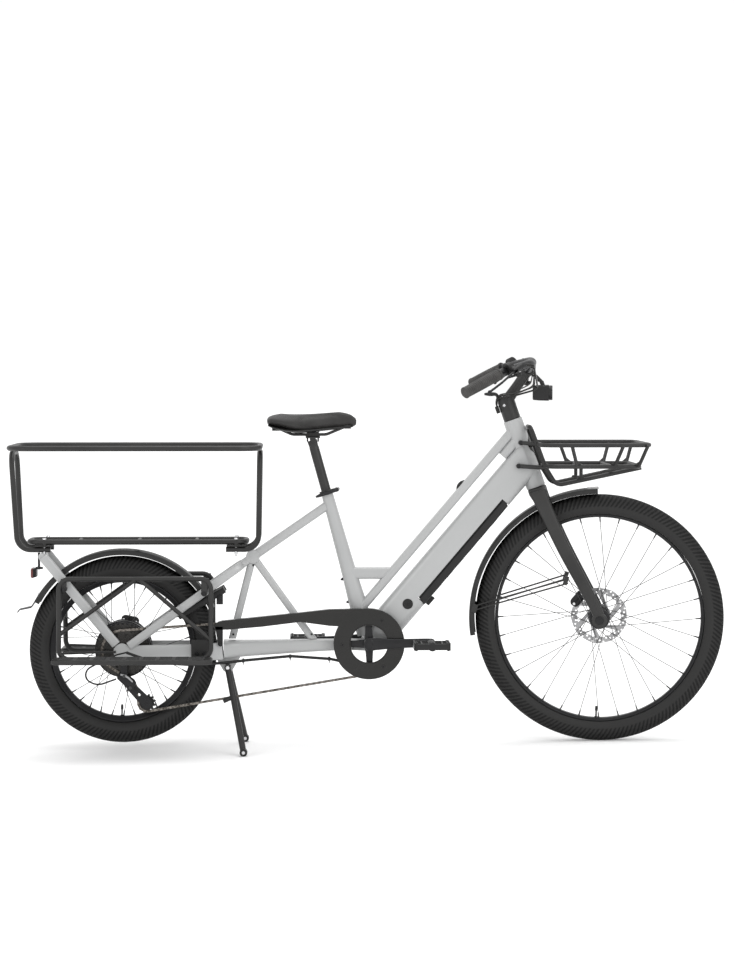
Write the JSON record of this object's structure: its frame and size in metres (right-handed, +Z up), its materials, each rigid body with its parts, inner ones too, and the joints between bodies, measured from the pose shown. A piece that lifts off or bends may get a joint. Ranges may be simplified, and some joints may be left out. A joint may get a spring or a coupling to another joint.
{
  "type": "cargo bicycle",
  "caption": "Electric long-tail cargo bicycle with rear safety rail and deck, side footboards, front carrier, chain guard, disc brakes and double-leg centre stand.",
  "frame": {"origin": "on the ground, under the middle of the outline", "axes": "+X forward, towards the front wheel; +Y to the rider's left; +Z up"},
  "size_m": [1.9816, 0.6428, 1.085],
  "materials": {
    "frame_paint": "light grey satin powder coat",
    "black_coat": "black satin powder coat",
    "tyre_rubber": "dark rubber with a fine tread",
    "grip_rubber": "black soft rubber",
    "black_plastic": "black moulded plastic, satin",
    "gloss_plastic": "black moulded plastic, glossy",
    "black_alloy": "black anodised",
    "bare_steel": "bare steel",
    "chain_steel": "oiled steel links",
    "saddle_cover": "black synthetic leather over foam",
    "red_lens": "red transparent plastic"
  },
  "bodies": {
    "frame": {"head_tube": "frame_paint", "down_tube": "frame_paint", "top_tube": "frame_paint", "seat_tube": "frame_paint", "rear_beam": "frame_paint", "chainstays": "frame_paint", "upper_stay": "frame_paint", "front_strut": "frame_paint", "seat_stays": "frame_paint", "rack_struts": "frame_paint", "seat_clamp": "black_coat", "chain": "chain_steel", "chain_guard": "gloss_plastic", "rear_derailleur": "black_alloy", "safety_rail": "black_coat", "rail_hoop_front": "black_coat", "rail_hoop_rear": "black_coat", "rack_deck": "black_coat", "side_frame_right": "black_coat", "side_frame_left": "black_coat", "front_rack": "black_coat", "rear_mudguard": "black_plastic", "rear_light": "red_lens", "ring_lock": "black_plastic", "rear_caliper": "black_alloy", "frame_cables": "black_plastic"},
    "battery_pack": {"battery": "black_plastic"},
    "seat": {"seat_post": "black_coat", "saddle": "saddle_cover"},
    "clamp_lever": {"seat_clamp_lever": "bare_steel"},
    "steering": {"fork": "black_coat", "stem": "black_coat", "handlebar": "black_coat", "grip_right": "grip_rubber", "grip_left": "grip_rubber", "brake_control_right": "black_plastic", "brake_control_left": "black_plastic", "headlight": "black_plastic", "control_hoses": "black_plastic", "front_mudguard": "black_plastic", "front_caliper": "black_alloy"},
    "front_wheel": {"front_tyre": "tyre_rubber", "front_rim": "black_alloy", "front_hub": "black_alloy", "front_rotor": "bare_steel"},
    "rear_wheel": {"rear_tyre": "tyre_rubber", "rear_rim": "black_alloy", "rear_hub": "black_alloy", "rear_rotor": "bare_steel"},
    "crank": {"crank_right": "black_alloy", "crank_left": "black_alloy"},
    "pedal_right": {"pedal_right": "black_plastic"},
    "pedal_left": {"pedal_left": "black_plastic"},
    "cassette": {"cassette": "black_alloy"},
    "guide_pulley": {"guide_pulley": "black_plastic"},
    "tension_pulley": {"tension_pulley": "black_plastic"},
    "stand": {"centre_stand": "black_coat"},
    "lever_right": {"brake_lever_right": "black_alloy"},
    "lever_left": {"brake_lever_left": "black_alloy"},
    "shift_trigger": {"shift_trigger": "black_plastic"}
  },
  "joints": [
    {"name": "steer", "type": "hinge", "parent": "frame", "child": "steering", "pos_m": [0.41135, 0, 0.90899], "axis": [-0.3148, 0, 0.9492], "range_deg": [-44, 56]},
    {"name": "front_wheel_spin", "type": "hinge", "parent": "steering", "child": "front_wheel", "pos_m": [0.64564, -0.00481, 0.34792], "axis": [0.0992, 0.9945, 0.0329], "continuous": true},
    {"name": "rear_wheel_spin", "type": "hinge", "parent": "frame", "child": "rear_wheel", "pos_m": [-0.69157, 0, 0.28883], "axis": [0, 1, 0], "continuous": true},
    {"name": "crank_spin", "type": "hinge", "parent": "frame", "child": "crank", "pos_m": [-0.00435, 0, 0.29304], "axis": [0, 1, 0], "continuous": true},
    {"name": "pedal_right_spin", "type": "hinge", "parent": "crank", "child": "pedal_right", "pos_m": [0.16565, -0.145, 0.29408], "axis": [0, 1, 0], "continuous": true},
    {"name": "pedal_left_spin", "type": "hinge", "parent": "crank", "child": "pedal_left", "pos_m": [-0.17435, 0.145, 0.292], "axis": [0, 1, 0], "continuous": true},
    {"name": "cassette_spin", "type": "hinge", "parent": "frame", "child": "cassette", "pos_m": [-0.69157, -0.044, 0.28883], "axis": [0, 1, 0], "continuous": true},
    {"name": "guide_pulley_spin", "type": "hinge", "parent": "frame", "child": "guide_pulley", "pos_m": [-0.67059, -0.044, 0.18799], "axis": [0, 1, 0], "continuous": true},
    {"name": "tension_pulley_spin", "type": "hinge", "parent": "frame", "child": "tension_pulley", "pos_m": [-0.62732, -0.044, 0.14151], "axis": [0, 1, 0], "continuous": true},
    {"name": "stand_fold", "type": "hinge", "parent": "frame", "child": "stand", "pos_m": [-0.40021, 0, 0.23437], "axis": [0, 1, 0], "range_deg": [0, 80]},
    {"name": "seat_height", "type": "slide", "parent": "frame", "child": "seat", "axis": [-0.2495, 0, 0.9684], "range_m": [-0.08, 0.06]},
    {"name": "clamp_lever_swing", "type": "hinge", "parent": "frame", "child": "clamp_lever", "pos_m": [-0.08509, -0.018, 0.72299], "axis": [-0.2495, 0, 0.9684], "range_deg": [0, 140]},
    {"name": "battery_tilt", "type": "hinge", "parent": "frame", "child": "battery_pack", "pos_m": [0.39447, 0, 0.66915], "axis": [0, -1, 0], "range_deg": [0, 8]},
    {"name": "brake_lever_right_pull", "type": "hinge", "parent": "steering", "child": "lever_right", "pos_m": [0.39773, -0.23877, 1.04403], "axis": [0.2889, 0.2488, -0.9245], "range_deg": [0, 9], "stiffness_Nm_per_rad": 2, "springref_deg": -14.32},
    {"name": "brake_lever_left_pull", "type": "hinge", "parent": "steering", "child": "lever_left", "pos_m": [0.44424, 0.2274, 1.05946], "axis": [-0.2401, 0.2398, 0.9407], "range_deg": [0, 9], "stiffness_Nm_per_rad": 2, "springref_deg": -14.32},
    {"name": "shift_trigger_push", "type": "hinge", "parent": "steering", "child": "shift_trigger", "pos_m": [0.41281, -0.21666, 1.03564], "axis": [0.2889, 0.2488, -0.9245], "range_deg": [0, 11], "stiffness_Nm_per_rad": 0.5, "springref_deg": -14.32}
  ],
  "couplings": [
    {"joint": "cassette_spin", "follows": "crank_spin", "ratio": 1.5},
    {"joint": "tension_pulley_spin", "follows": "crank_spin", "ratio": 3.5},
    {"joint": "guide_pulley_spin", "follows": "crank_spin", "ratio": -5.6667}
  ]
}
